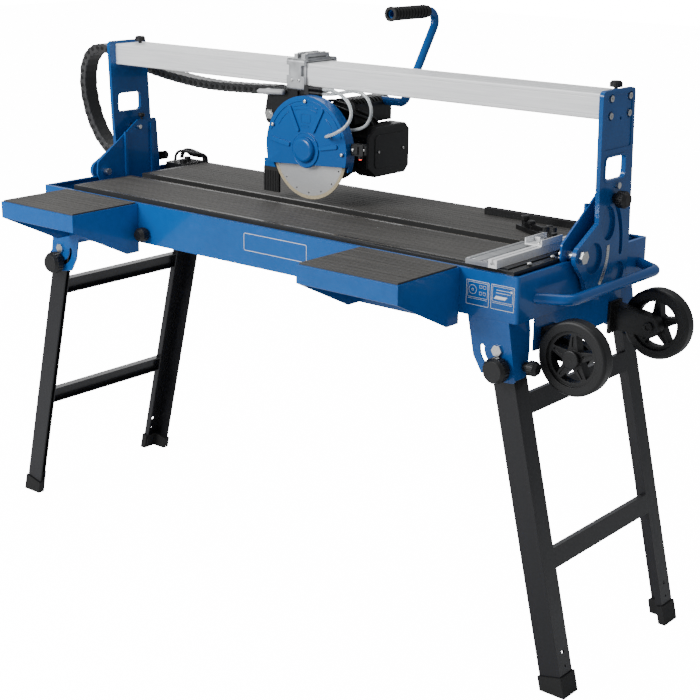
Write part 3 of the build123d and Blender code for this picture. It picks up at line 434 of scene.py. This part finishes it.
MATERIALS = {
    # The looks of the record's slots.
    "blue": painted("blue_powder_coat", (0.0, 0.08, 0.305)),
    "blue_cast": painted("blue_cast_coat", (0.0, 0.073, 0.27), 0.3, 420, 0.0002),
    "dark_steel": painted("dark_table_coat", (0.02, 0.02, 0.02), 0.4, 900),
    "black_metal": painted("black_metal_coat", (0.004, 0.004, 0.0045), 0.4, 600),
    "anthracite": painted("anthracite_coat", (0.0062, 0.006, 0.008), 0.42, 500, 0.0002),
    "zinc": metal("zinc_plate", (0.72, 0.72, 0.7), 0.28, (1, 1, 1), 180),
    "blade_steel": blade_steel("ground_blade"),
    "aluminium": metal("drawn_aluminium", (0.93, 0.94, 0.95), 0.42, (0.03, 1, 1), 260, shine=0.15),
    "cast_aluminium": cast("cast_aluminium", (0.58, 0.59, 0.6), 0.42),
    "rubber": plastic("black_rubber", (0.006, 0.006, 0.006), 0.7, 500, 0.0003),
    "grip_rubber": plastic("grip_rubber", (0.004, 0.004, 0.004), 0.6, 700, 0.0002),
    "black_plastic": plastic("black_plastic", (0.005, 0.005, 0.0055), 0.46),
    "clear_hose": clear_tube("clear_hose"),
    # Looks of single parts and of the trim.
    "mat": ribbed_rubber("ribbed_mat", (0.055, 0.052, 0.048)),
    "ruled": ruled_metal("ruled_aluminium", (0.6, 0.61, 0.62)),
    "white_ink": painted("white_ink", (0.8, 0.82, 0.84), 0.45, 800, 0.00005, chips=False),
    "laser_red": lamp_red("laser_window"),
    "chain": plastic("chain_plastic", (0.045, 0.045, 0.046), 0.4),
    "cable": plastic("cable_sheath", (0.006, 0.006, 0.0065), 0.38, 600),
    "grey_plastic": plastic("grey_plastic", (0.42, 0.42, 0.43), 0.35),
    "edge_strip_metal": metal("edge_strip_metal", (0.2, 0.18, 0.16), 0.5, (0.05, 1, 1), 200),
}
OWN_LOOK = {"mats": "mat", "fence_bar": "ruled"}


def dress_frame():
    """Every CAD node gets the detailed version of its slot's material."""
    for entry in frame["record"]["subparts"]:
        node = NODES[entry["node"]]
        look = MATERIALS[OWN_LOOK.get(entry["node"], entry["material_slot"])]
        if not node.material_slots:
            node.data.materials.append(look)
        for slot in node.material_slots:
            slot.link = "OBJECT"
            slot.material = look


# ---------------------------------------------------------------- mesh helpers
def piece(name, work, body, look, smooth=False):
    """A mesh object from a bmesh, riding on a body. Small trim has no slot of its own."""
    mesh = bpy.data.meshes.new(name)
    bmesh.ops.recalc_face_normals(work, faces=work.faces[:])
    work.to_mesh(mesh)
    work.free()
    mesh.materials.append(MATERIALS[look])
    for face in mesh.polygons:
        face.use_smooth = smooth
    thing = bpy.data.objects.new(name, mesh)
    bpy.context.scene.collection.objects.link(thing)
    if body:
        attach(thing, body)
    return thing


def add_box(work, low, high, turn=None):
    """A box between two corners, given as row-frame points, optionally placed by a matrix."""
    low, high = Vector(low), Vector(high)
    for vert in bmesh.ops.create_cube(work, size=1)["verts"]:
        vert.co = Vector([(l + h) / 2 + c * (h - l) for l, h, c in zip(low, high, vert.co)])
        if turn:
            vert.co = turn @ vert.co


def add_prism(work, outline, depth, place):
    """An outline in local XY raised along local Z, then placed by a matrix."""
    bottom = [work.verts.new(place @ Vector((x, y, 0))) for x, y in outline]
    top = [work.verts.new(place @ Vector((x, y, depth))) for x, y in outline]
    work.faces.new(list(reversed(bottom)))
    work.faces.new(top)
    for i in range(len(outline)):
        j = (i + 1) % len(outline)
        work.faces.new((bottom[i], bottom[j], top[j], top[i]))


def add_lathe(work, profile, place, steps=40):
    """A profile of (radius, height) turned about local Z, then placed by a matrix."""
    rings = []
    for radius, height in profile:
        ring = []
        for i in range(steps):
            angle = 2 * math.pi * i / steps
            spot = Vector((radius * math.cos(angle), radius * math.sin(angle), height))
            ring.append(work.verts.new(place @ spot))
        rings.append(ring)
    for low, high in zip(rings, rings[1:]):
        for i in range(steps):
            j = (i + 1) % steps
            work.faces.new((low[i], low[j], high[j], high[i]))
    work.faces.new(list(reversed(rings[0])))
    work.faces.new(rings[-1])


def circle(radius, steps, start=0.0):
    """Points round the origin, from a start angle in radians."""
    angles = [start + 2 * math.pi * i / steps for i in range(steps)]
    return [(radius * math.cos(a), radius * math.sin(a)) for a in angles]


def facing(origin, direction, upward=(0, 0, 1)):
    """A matrix whose local Z points along a direction."""
    z = Vector(direction).normalized()
    x = Vector(upward).cross(z)
    if x.length < 1e-6:
        x = Vector((1, 0, 0))
    x.normalize()
    y = z.cross(x)
    turn = Matrix((x, y, z)).transposed().to_4x4()
    return Matrix.Translation(Vector(origin)) @ turn


def route_line(name, points):
    """The smooth line that follows control points, as points read from its curve."""
    data = bpy.data.curves.new(name, "CURVE")
    data.dimensions = "3D"
    data.resolution_u = 12
    spline = data.splines.new("NURBS")
    spline.points.add(len(points) - 1)
    for place, point in zip(spline.points, points):
        place.co = (*point, 1)
    spline.order_u = 3
    spline.use_endpoint_u = True
    thing = bpy.data.objects.new(name, data)
    bpy.context.scene.collection.objects.link(thing)
    bpy.context.view_layer.update()
    mesh = bpy.data.meshes.new_from_object(thing)
    line = [v.co.copy() for v in mesh.vertices]
    bpy.data.objects.remove(thing)
    bpy.data.meshes.remove(mesh)
    return line


def line_length(line):
    """The length of a line of points."""
    return sum((b - a).length for a, b in zip(line, line[1:]))


def along(line, step):
    """Points and directions at even steps along a line."""
    count = round(line_length(line) / step)
    step = line_length(line) / count
    made = []
    walked = 0.0
    wanted = step / 2
    for a, b in zip(line, line[1:]):
        span = (b - a).length
        while wanted <= walked + span and len(made) < count:
            made.append((a.lerp(b, (wanted - walked) / span), (b - a).normalized()))
            wanted += step
        walked += span
    return made


def add_tube(work, line, radius, sides=16, ripple=0.0):
    """A round tube along a line of points, with closed ends. A ripple makes every other ring smaller."""
    rings = []
    normal = Vector((0, 1, 0))
    for i, point in enumerate(line):
        ahead = line[min(i + 1, len(line) - 1)] - line[max(i - 1, 0)]
        ahead.normalize()
        normal = (normal - ahead * normal.dot(ahead)).normalized()
        side = ahead.cross(normal)
        ring = []
        for k in range(sides):
            angle = 2 * math.pi * k / sides
            reach = radius - ripple * (i % 2)
            ring.append(work.verts.new(point + (normal * math.cos(angle) + side * math.sin(angle)) * reach))
        rings.append(ring)
    for low, high in zip(rings, rings[1:]):
        for k in range(sides):
            j = (k + 1) % sides
            work.faces.new((low[k], low[j], high[j], high[k]))
    work.faces.new(list(reversed(rings[0])))
    work.faces.new(rings[-1])


# ---------------------------------------------------------------- hoses
HOSE_R = 0.0035
# From the valve under the carriage to the inlet on the guard, in the saw's millimetres.
HOSE_LEFT = [
    (626.4, 228.5, 1014), (648, 226, 1015), (676, 212, 1014), (705, 198, 1010), (733, 186, 998),
    (747, 176, 976), (738, 168, 954), (712, 161, 938), (688, 163, 930), (682, 174.8, 929),
]
HOSE_RIGHT = [
    (626.4, 228.5, 1004.5), (650, 229, 1005.5), (680, 230, 1013), (712, 230.5, 1019), (740, 230, 1011),
    (755, 229, 988), (751, 230, 966), (735, 232, 947), (709, 233, 939), (697, 220.2, 938),
]


def add_hose(name, route):
    """A clear hose from the carriage to the head, in place of its CAD band."""
    line = route_line(name, [at(*point) for point in route])
    work = bmesh.new()
    add_tube(work, line, HOSE_R)
    hose = piece(name + "_tube", work, None, "clear_hose", True)
    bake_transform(hose)
    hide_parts(name)


# ---------------------------------------------------------------- energy chain
LINK_PITCH = 0.0175
LINK_HEIGHT = 0.0205
LINK_PLATE = 0.0034                     # thickness of a side plate
LINK_INSET = 0.0012                     # how far in every other link's plates stand
BOSS_RADIUS = 0.0045
BOSS_HEIGHT = 0.0014
BOSS_SUNK = {-1: -0.0016, 1: -0.0006}   # where the boss starts, by side
BAR_HALF = 0.0008                       # half the thickness of a cross bar
ACROSS = Vector((0, 1, 0))

CHAIN_Y = (347, 387)
# X and Z of the control points: from the carriage along the rail to its left end, and from there round
# to the base.
CHAIN_RUN = [(383, 981), (290, 976), (160, 973), (30, 986), (-70, 1004), (-126, 1021)]
CHAIN_LOOP = [
    (-150, 1027), (-202, 1040), (-254, 1006), (-268, 932), (-238, 840), (-181, 780), (-100, 772), (-8, 788),
]


def link_outline(length, height):
    """Side plate of a link: two round ends of different size joined by a waist."""
    front = [(length * 0.5 + x, y) for x, y in circle(height / 2, 14, -math.pi / 2)[:8]]
    back = [(-length * 0.42 + x, y) for x, y in circle(height * 0.46, 14, math.pi / 2)[:8]]
    return front + back


def link_turn(ahead):
    """Turns a link's X along the chain and its Z across it."""
    return Matrix((ahead, ACROSS.cross(ahead), -ACROSS)).transposed().to_4x4()


def add_chain(name, route):
    """Plastic links along a route: two side plates with a pin boss each, and bars over and under."""
    middle = sum(CHAIN_Y) / 2
    line = route_line(name, [at(x, middle, z) for x, z in route])
    half = (CHAIN_Y[1] - CHAIN_Y[0]) / 2000
    work = bmesh.new()
    links = along(line, LINK_PITCH)
    for i, (spot, ahead) in enumerate(links):
        inset = 0.0 if i % 2 else LINK_INSET
        for side in (-1, 1):
            place = Matrix.Translation(spot - ACROSS * side * (half - inset)) @ link_turn(ahead)
            if side > 0:
                place = place @ Matrix.Translation((0, 0, -LINK_PLATE))
            add_prism(work, link_outline(LINK_PITCH * 0.62, LINK_HEIGHT), LINK_PLATE, place)
    plates = len(work.faces)
    reach = LINK_PITCH * 0.495          # neighbouring bars nearly touch, so the chain isn't see-through
    for spot, ahead in links:
        turn = link_turn(ahead)
        for side in (-1, 1):
            centre = spot - ACROSS * side * (half + 0.0002) + ahead * LINK_PITCH / 2
            boss = Matrix.Translation(centre) @ turn @ Matrix.Translation((0, 0, BOSS_SUNK[side]))
            add_prism(work, circle(BOSS_RADIUS, 12), BOSS_HEIGHT, boss)
        for level in (-1, 1):
            drop = turn.to_3x3() @ Vector((0, level * (LINK_HEIGHT / 2 - 0.0012), 0))
            low = (-reach, -BAR_HALF, LINK_PLATE - half)
            high = (reach, BAR_HALF, half - LINK_PLATE)
            add_box(work, low, high, Matrix.Translation(spot - drop) @ turn)
    # The plates are grey. The bosses and bars are black.
    work.faces.ensure_lookup_table()
    for face in work.faces[plates:]:
        face.material_index = 1
    chain = piece(name + "_links", work, None, "chain")
    chain.data.materials.append(MATERIALS["black_plastic"])
    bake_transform(chain)
    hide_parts(name)


# ---------------------------------------------------------------- details
FRONT = (0, -1, 0)
RIGHT = (1, 0, 0)
LEFT = (-1, 0, 0)
UP = (0, 0, 1)
BACK = (0, 1, 0)
DOWN = (0, 0, -1)
LABEL_DEPTH = 0.00025                   # how thick the printed lines are


def rounded(x, y, radius, steps=5):
    """A rectangle with round corners, from two pairs of ends in millimetres."""
    points = []
    left, right = x[0] + radius, x[1] - radius
    low, high = y[0] + radius, y[1] - radius
    for quarter, (cx, cy) in enumerate(((right, high), (left, high), (left, low), (right, low))):
        for i in range(steps + 1):
            angle = math.radians(90 * quarter + 90 * i / steps)
            points.append(((cx + radius * math.cos(angle)) / 1000, (cy + radius * math.sin(angle)) / 1000))
    return points


def add_band(work, outer, inner, depth, place):
    """The band between two outlines of equal count, raised along local Z."""
    rows = []
    for outline in (outer, inner):
        for level in (0, depth):
            rows.append([work.verts.new(place @ Vector((x, y, level))) for x, y in outline])
    low, high, low_in, high_in = rows
    for i in range(len(outer)):
        j = (i + 1) % len(outer)
        work.faces.new((high[i], high[j], high_in[j], high_in[i]))
        work.faces.new((low[i], low[j], high[j], high[i]))
        work.faces.new((low_in[i], high_in[i], high_in[j], low_in[j]))
        work.faces.new((low[i], low_in[i], low_in[j], low[j]))


def add_line_box(work, x, y, place, width=1.1, corner=2.5, depth=LABEL_DEPTH):
    """The outline of a rounded rectangle, drawn as a thin raised line."""
    inside = rounded((x[0] + width, x[1] - width), (y[0] + width, y[1] - width), max(0.4, corner - width))
    add_band(work, rounded(x, y, corner), inside, depth, place)


def arc_strip(inner, outer, start, end, flip=1, steps=20):
    """The outline of a curved strip round the origin, in millimetres and degrees."""
    angles = [math.radians(start + (end - start) * i / steps) for i in range(steps + 1)]
    far = [(flip * outer * math.cos(a) / 1000, outer * math.sin(a) / 1000) for a in angles]
    near = [(flip * inner * math.cos(a) / 1000, inner * math.sin(a) / 1000) for a in reversed(angles)]
    return far + near


def add_screw(work, spot, direction, radius, height):
    """A pan head with a socket."""
    r, h = radius / 1000, height / 1000
    profile = [
        (r * 0.97, 0), (r, h * 0.15), (r, h * 0.45), (r * 0.86, h * 0.85), (r * 0.62, h), (r * 0.46, h),
        (r * 0.4, h * 0.9), (r * 0.38, h * 0.45), (r * 0.05, h * 0.4),
    ]
    add_lathe(work, profile, facing(at(*spot), direction), 24)


def add_plates():
    """Plain label frames on the front of the base, without any lettering."""
    work = bmesh.new()
    front = facing(at(0, -0.02, 0), FRONT)
    add_line_box(work, (616, 783), (714, 750), front, 1.3, 4)
    for x in ((1160, 1209), (1213, 1262)):
        add_line_box(work, x, (703, 748), front, 1.1, 2)
        add_line_box(work, (x[0] + 3, x[1] - 3), (717, 745), front, 0.8, 1.5)
        add_prism(work, rounded((x[0] + 4, x[1] - 4), (714.2, 715), 0.3), LABEL_DEPTH, front)
    disc = front @ Matrix.Translation((1.174, 0.731, 0))
    add_band(work, circle(0.0085, 32), circle(0.0077, 32), LABEL_DEPTH, disc)
    add_band(work, circle(0.0025, 16), circle(0.0016, 16), LABEL_DEPTH, disc)
    for x, z in ((1188, 738), (1196, 738), (1188, 726), (1196, 726)):
        add_line_box(work, (x, x + 6), (z - 3, z + 3), front, 0.7, 1)
    slab = [(1.219, 0.722), (1.243, 0.722), (1.248, 0.728), (1.224, 0.728)]
    add_prism(work, slab, LABEL_DEPTH, front)
    for z in (733, 738):
        add_prism(work, rounded((1224, 1254), (z, z + 1), 0.4), LABEL_DEPTH, front)
    arrow = [(1.254, 0.7355), (1.259, 0.7385), (1.254, 0.7415)]
    add_prism(work, arrow, LABEL_DEPTH, front)
    piece("label_frames", work, "base", "white_ink")


SCALE_OUT = 19.02                       # from the end of the base out to the post's face
SCALE_MIDDLE = 0.0925                   # radius of the strip's middle line


def add_tilt_scales():
    """The steel scale strip beside each curved groove, with its end pins and its ticks."""
    strips, ticks = bmesh.new(), bmesh.new()
    for x, direction, flip in ((BASE_LENGTH + SCALE_OUT, RIGHT, 1), (-SCALE_OUT, LEFT, -1)):
        place = facing(at(x, *TILT_PIVOT), direction)
        add_prism(strips, arc_strip(88, 97, -43, 4.5, flip), 0.0011, place)
        for angle in (-41, 2.5):
            turn = math.radians(angle)
            pin = (flip * SCALE_MIDDLE * math.cos(turn), SCALE_MIDDLE * math.sin(turn), 0.001)
            profile = [(0.0024, 0), (0.0024, 0.0008), (0.0014, 0.0016), (0.0002, 0.0017)]
            add_lathe(strips, profile, place @ Matrix.Translation(pin), 16)
        for i in range(17):
            angle = -38 + 2.25 * i
            length = 88.6 + (5.5 if i % 4 == 0 else 3)
            add_prism(ticks, arc_strip(88.6, length, angle - 0.16, angle + 0.16, flip, 2), 0.00125, place)
    piece("tilt_scales", strips, "bridge", "zinc")
    piece("tilt_scale_ticks", ticks, "bridge", "black_plastic")


def add_screws():
    """Screw heads on the head, the carriage clamp and the tables."""
    head = []
    for angle in (0, 90, 154):
        x = GUARD_CENTRE[0] + 99 * math.cos(math.radians(angle))
        z = GUARD_CENTRE[1] + 99 * math.sin(math.radians(angle))
        head.append(((x, 183.5, z), FRONT, 3.9, 2.6))
    head.append(((733, 197, 905), FRONT, 3.4, 2.4))
    head.append(((756.5, 203, 906), FRONT, 3.0, 2.2))
    head += [((722.2, y, 888), RIGHT, 2.8, 1.6) for y in (296, 378)]
    clamp = [((x, 225, 1027), FRONT, 3.2, 2.2) for x in (543, 563)]
    table = [((1248.5, y, 777.4), UP, 4.4, 3) for y in (64, 140)]
    table += [((x, -173, 766), UP, 0.9, 0.6) for x in (110, 276, 947, 1113)]
    table.append(((1212, 153, CHANNEL_FLOOR), UP, 5, 3.4))
    for name, body, screws in (
        ("head_screws", "cutting_head", head),
        ("clamp_screws", "carriage", clamp),
        ("table_screws", "base", table),
    ):
        work = bmesh.new()
        for screw in screws:
            add_screw(work, *screw)
        piece(name, work, body, "zinc")


def add_knobs_and_caps():
    """Thumb screws on the gussets, and the caps and nuts on the wheels' axles."""
    work = bmesh.new()
    knob = [
        (0.0026, 0), (0.0026, 0.005), (0.0068, 0.0065), (0.0078, 0.009), (0.0078, 0.0125), (0.006, 0.0145),
        (0.0004, 0.015),
    ]
    for x in (11.3, BASE_LENGTH - 11.3):
        add_lathe(work, knob, facing(at(x, 290, 885.7), UP), 20)
    piece("gusset_knobs", work, "base", "black_plastic")
    work = bmesh.new()
    cap = [(0.0162, 0), (0.0166, 0.0008), (0.0162, 0.0024), (0.0148, 0.003), (0.004, 0.0033), (0.0003, 0.003)]
    nut = [(0.0095, 0), (0.0095, 0.002), (0.0082, 0.003), (0.005, 0.003), (0.0046, 0.0008), (0.0003, 0.0007)]
    for y, direction, profile in ((59, FRONT, cap), (393, BACK, cap), (336, FRONT, nut), (116, BACK, nut)):
        spot = at(WHEEL_AXLE[0], y, WHEEL_AXLE[1])
        add_lathe(work, profile, facing(spot, direction), 28)
    piece("axle_caps", work, "base", "black_plastic")


def add_guard_marks():
    """Arc beads, a ring and a blank plate on the front of the guard."""
    work = bmesh.new()
    place = facing(at(GUARD_CENTRE[0], GUARD_FACE, GUARD_CENTRE[1]), FRONT)
    for radius in (90, 83):
        add_prism(work, arc_strip(radius, radius + 2.2, 69, 110), 0.0008, place)
    add_prism(work, arc_strip(86, 88, 28, 52), 0.0008, place)
    add_prism(work, arc_strip(86, 88, 122, 148), 0.0008, place)
    add_band(work, circle(0.0362, 48), circle(0.0344, 48), 0.0026, place)
    piece("guard_beads", work, "cutting_head", "blue", True)
    work = bmesh.new()
    add_line_box(work, (-13, 13), (55, 73), place, 1.0, 2, 0.0005)
    add_line_box(work, (-11, 9), (45, 50), place, 0.7, 1.2, 0.0005)
    piece("guard_plate", work, "cutting_head", "blue_cast")


def add_lamp():
    """The red window under the laser."""
    work = bmesh.new()
    profile = [(0.0031, 0), (0.0031, 0.0012), (0.0022, 0.0022), (0.0003, 0.0026)]
    add_lathe(work, profile, facing(at(745, 207, 887), DOWN, BACK), 20)
    piece("laser_window", work, "cutting_head", "laser_red", True)


def add_stop_parts():
    """The channel on the fence, the lobed knob that locks it, and the knobs of the angle stop."""
    work = bmesh.new()
    front, back = 143, 214
    add_box(work, at(1186, front, CHANNEL_FLOOR - 3), at(1223, back, CHANNEL_FLOOR))
    add_box(work, at(1186, front, CHANNEL_FLOOR), at(1188.6, back, 803))
    add_box(work, at(1220.4, front, CHANNEL_FLOOR), at(1223, back, 803))
    add_box(work, at(1190, 170, CHANNEL_FLOOR), at(1201, 172.5, 801))
    bmesh.ops.bevel(work, geom=work.edges[:], offset=0.0004, segments=1, affect="EDGES")
    piece("fence_channel", work, "base", "aluminium")
    work = bmesh.new()
    place = facing(at(1205, 196, 793), UP)
    stem = [(0.009, 0), (0.009, 0.002), (0.0036, 0.003), (0.0036, 0.016), (0.007, 0.0165), (0.006, 0.019)]
    add_lathe(work, stem, place)
    lobes = []
    for i in range(60):
        angle = 2 * math.pi * i / 60
        reach = 0.0105 + 0.0042 * math.cos(3 * angle)
        lobes.append((reach * math.cos(angle), reach * math.sin(angle)))
    add_prism(work, lobes, 0.009, place @ Matrix.Translation((0, 0, 0.016)))
    add_lathe(work, [(0.006, 0), (0.0058, 0.0012), (0.003, 0.002)], place @ Matrix.Translation((0, 0, 0.025)))
    piece("fence_knob", work, "base", "black_plastic")
    work = bmesh.new()
    for distance, size, height in ((62, 8, 13), (86, 9, 19)):
        x = STOP_PIVOT[0] + 3 + distance * math.cos(math.radians(STOP_ANGLE))
        y = STOP_PIVOT[1] + 5 + distance * math.sin(math.radians(STOP_ANGLE))
        r, h = size / 1000, height / 1000
        profile = [(r * 0.45, 0), (r * 0.45, h * 0.4), (r, h * 0.5), (r, h * 0.9), (r * 0.8, h), (r * 0.1, h)]
        add_lathe(work, profile, facing(at(x, y, 784.1), UP), 9)
    piece("stop_knobs", work, "angle_stop", "black_plastic")


# Control points of the fixed cables, in the saw's millimetres.
PUMP_CABLE = [
    (24, 384, 778), (24, 386, 797), (38, 398, 802), (60, 412, 794), (70, 432, 787), (50, 440, 784),
    (28, 432, 786), (34, 418, 795), (64, 416, 798), (82, 428, 792), (78, 440, 780), (74, 441, 752),
]
DRAIN_HOSE = [
    (14, 416, 778), (14, 418, 795), (30, 424, 800), (54, 430, 794), (66, 442, 786), (64, 444, 768),
    (50, 441, 745),
]
MOTOR_CABLE = [
    (700, 300, 938), (700, 296, 952), (694, 268, 962), (676, 250, 974), (640, 249, 982), (604, 251, 984),
    (574, 254, 980), (562, 256, 962),
]
SWITCH_CABLE = [
    (690, 330, 938), (694, 322, 953), (690, 270, 972), (660, 254, 989), (622, 256, 991), (590, 262, 976),
    (580, 264, 958),
]
RIPPLE_STEP = 0.0016


def add_cable(work, name, points, radius, ripple=0.0):
    """A cable or a corrugated hose along control points."""
    line = route_line(name, [at(*point) for point in points])
    if ripple:
        spots = [spot for spot, ahead in along(line, RIPPLE_STEP)]
        add_tube(work, spots, radius, 14, ripple)
    else:
        add_tube(work, line, radius, 12)


def add_cables():
    """Pump cable and drain hose in the rear left corner, and the cables behind the head."""
    work = bmesh.new()
    add_cable(work, "pump_cable", PUMP_CABLE, 0.0036)
    piece("pump_cable", work, "base", "cable", True)
    work = bmesh.new()
    add_cable(work, "drain_hose", DRAIN_HOSE, 0.0055, 0.0011)
    piece("drain_hose", work, "base", "cable")
    work = bmesh.new()
    add_cable(work, "motor_cable", MOTOR_CABLE, 0.0038)
    add_cable(work, "switch_cable", SWITCH_CABLE, 0.0032)
    piece("motor_cables", work, "cutting_head", "cable", True)


def add_pipe_and_tray():
    """The water pipe with its ribbed collar in front of the carriage, and the tray at the chain's end."""
    work = bmesh.new()
    profile = [(0.0028, 0), (0.0036, 0.004)]
    for i in range(5):
        profile += [(0.0058, 0.006 + 0.004 * i), (0.0046, 0.008 + 0.004 * i)]
    profile += [(0.0072, 0.028), (0.0072, 0.034), (0.006, 0.036), (0.006, 0.072), (0.0056, 0.074)]
    add_lathe(work, profile, facing(at(455, 215.5, 997), (1, 0, 0.06)), 24)
    piece("water_pipe", work, "carriage", "grey_plastic", True)
    work = bmesh.new()
    add_box(work, at(424, 346, 984.2), at(478, 372, 986.6))
    add_box(work, at(424, 346, 976), at(426.4, 349, 984.2))
    bmesh.ops.bevel(work, geom=work.edges[:], offset=0.0006, segments=2, affect="EDGES")
    piece("chain_plate", work, "carriage", "aluminium")


def add_table_edges():
    """Lighter steel strips along the edges of the slot and the front of the table."""
    work = bmesh.new()
    for y, end in ((17.4, 1153.6), (182.4, 1153.6), (222.4, 1200)):
        add_box(work, at(84, y, TABLE_TOP - 0.1), at(end, y + 1.2, TABLE_TOP + 0.25))
    piece("table_edges", work, "base", "edge_strip_metal")


add_camera()
add_lights()
add_floor()
dress_frame()
add_hose("hose_left", HOSE_LEFT)
add_hose("hose_right", HOSE_RIGHT)
add_chain("chain_run", CHAIN_RUN)
add_chain("chain_loop", CHAIN_LOOP)

add_plates()
add_tilt_scales()
add_screws()
add_knobs_and_caps()
add_guard_marks()
add_lamp()
add_stop_parts()
add_cables()
add_pipe_and_tray()
add_table_edges()
